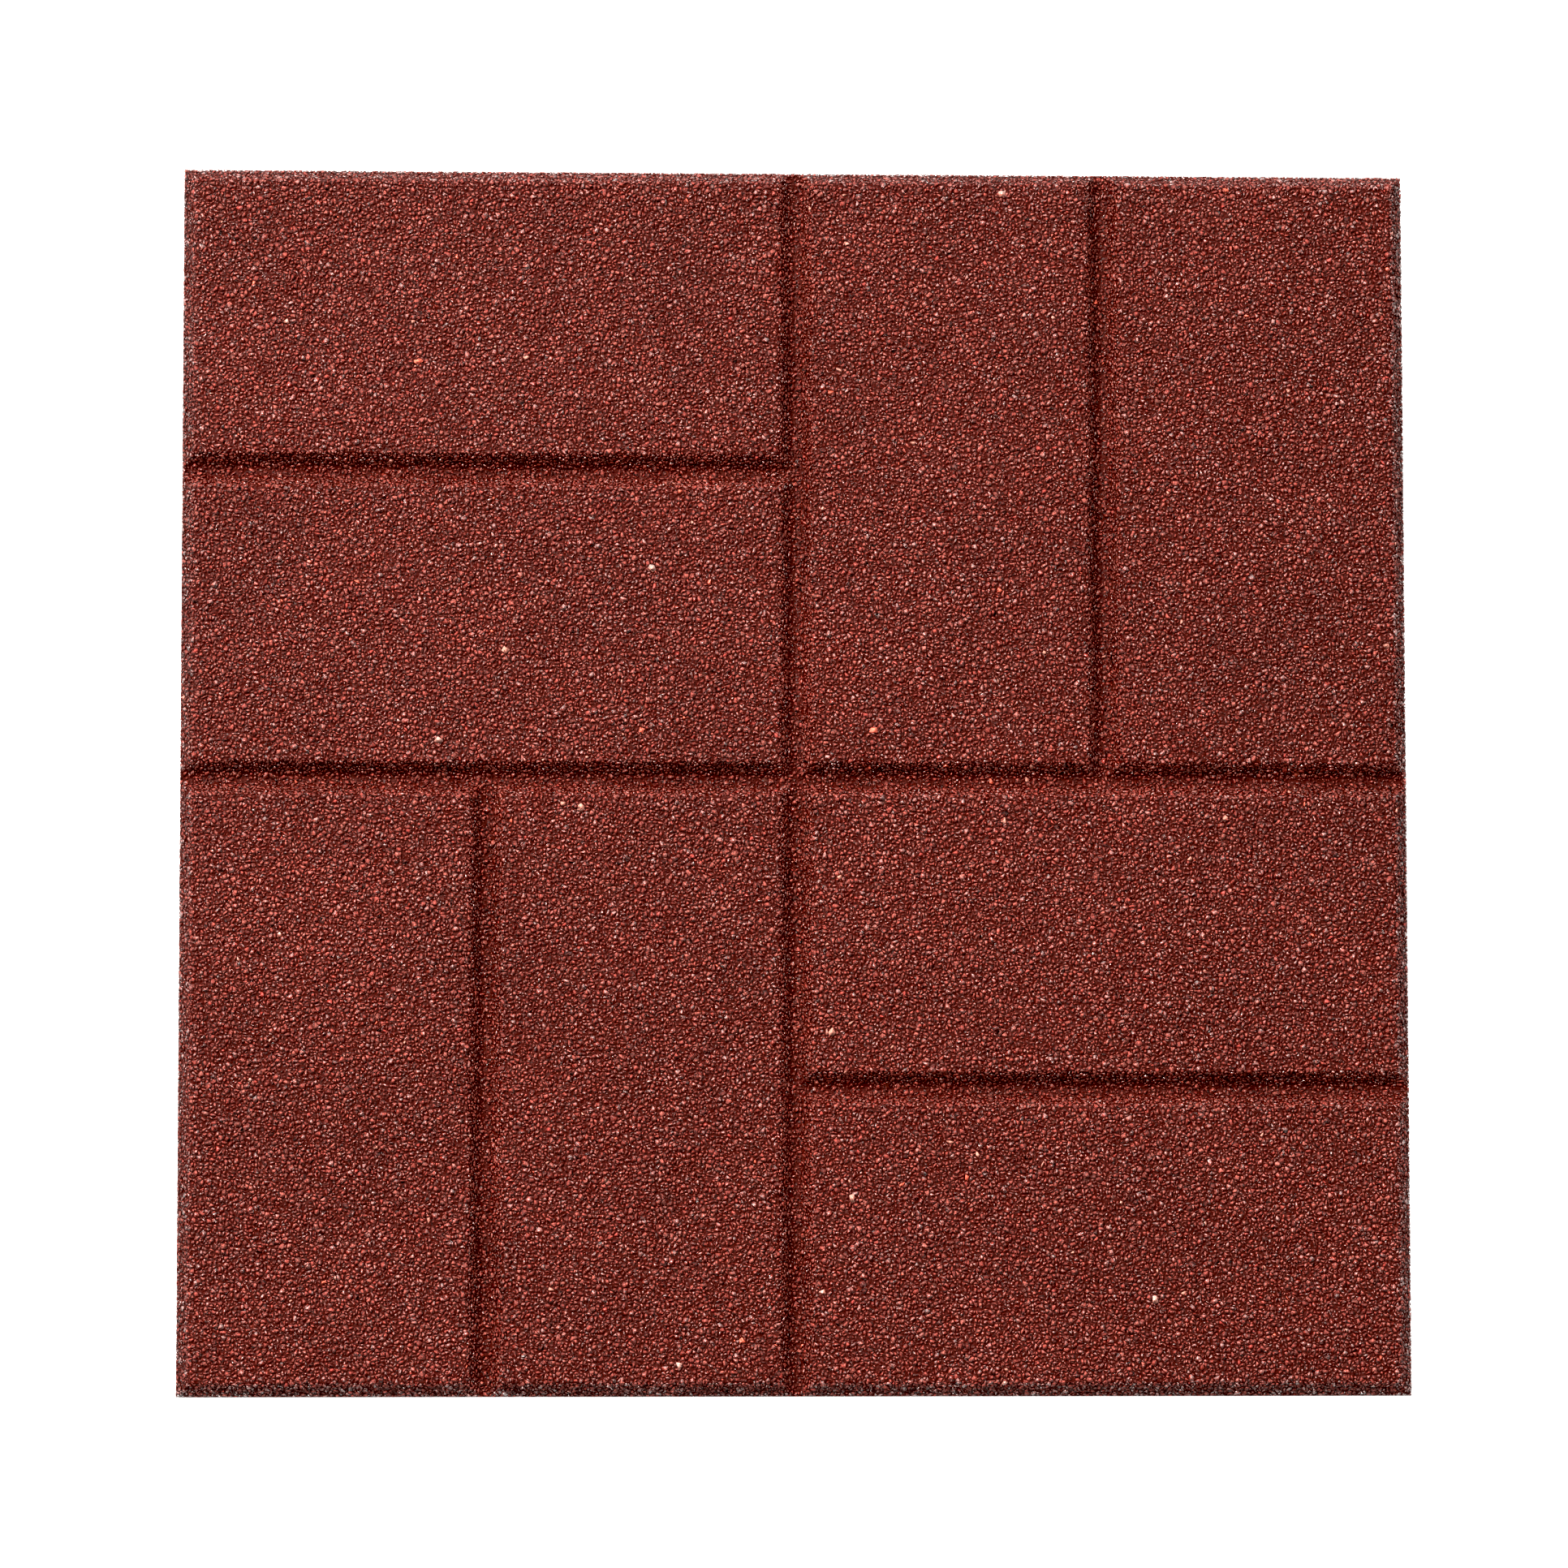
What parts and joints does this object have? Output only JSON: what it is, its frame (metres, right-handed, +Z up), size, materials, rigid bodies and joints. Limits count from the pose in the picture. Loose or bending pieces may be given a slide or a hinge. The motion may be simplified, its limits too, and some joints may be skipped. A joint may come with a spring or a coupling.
{
  "type": "rubber paver",
  "caption": "Square paver of pressed rubber crumb with a basket-weave brick face, bevelled edges and a flat underside.",
  "frame": {"origin": "middle of the underside, which lies on the floor", "axes": "+Z up out of the brick face, X and Y along the paver's sides; the pair of bricks at -X +Y lies along X"},
  "size_m": [0.4064, 0.4064, 0.0191],
  "materials": {
    "crumb_rubber": "matte"
  },
  "bodies": {
    "root": {"paver": "crumb_rubber"}
  },
  "joints": []
}
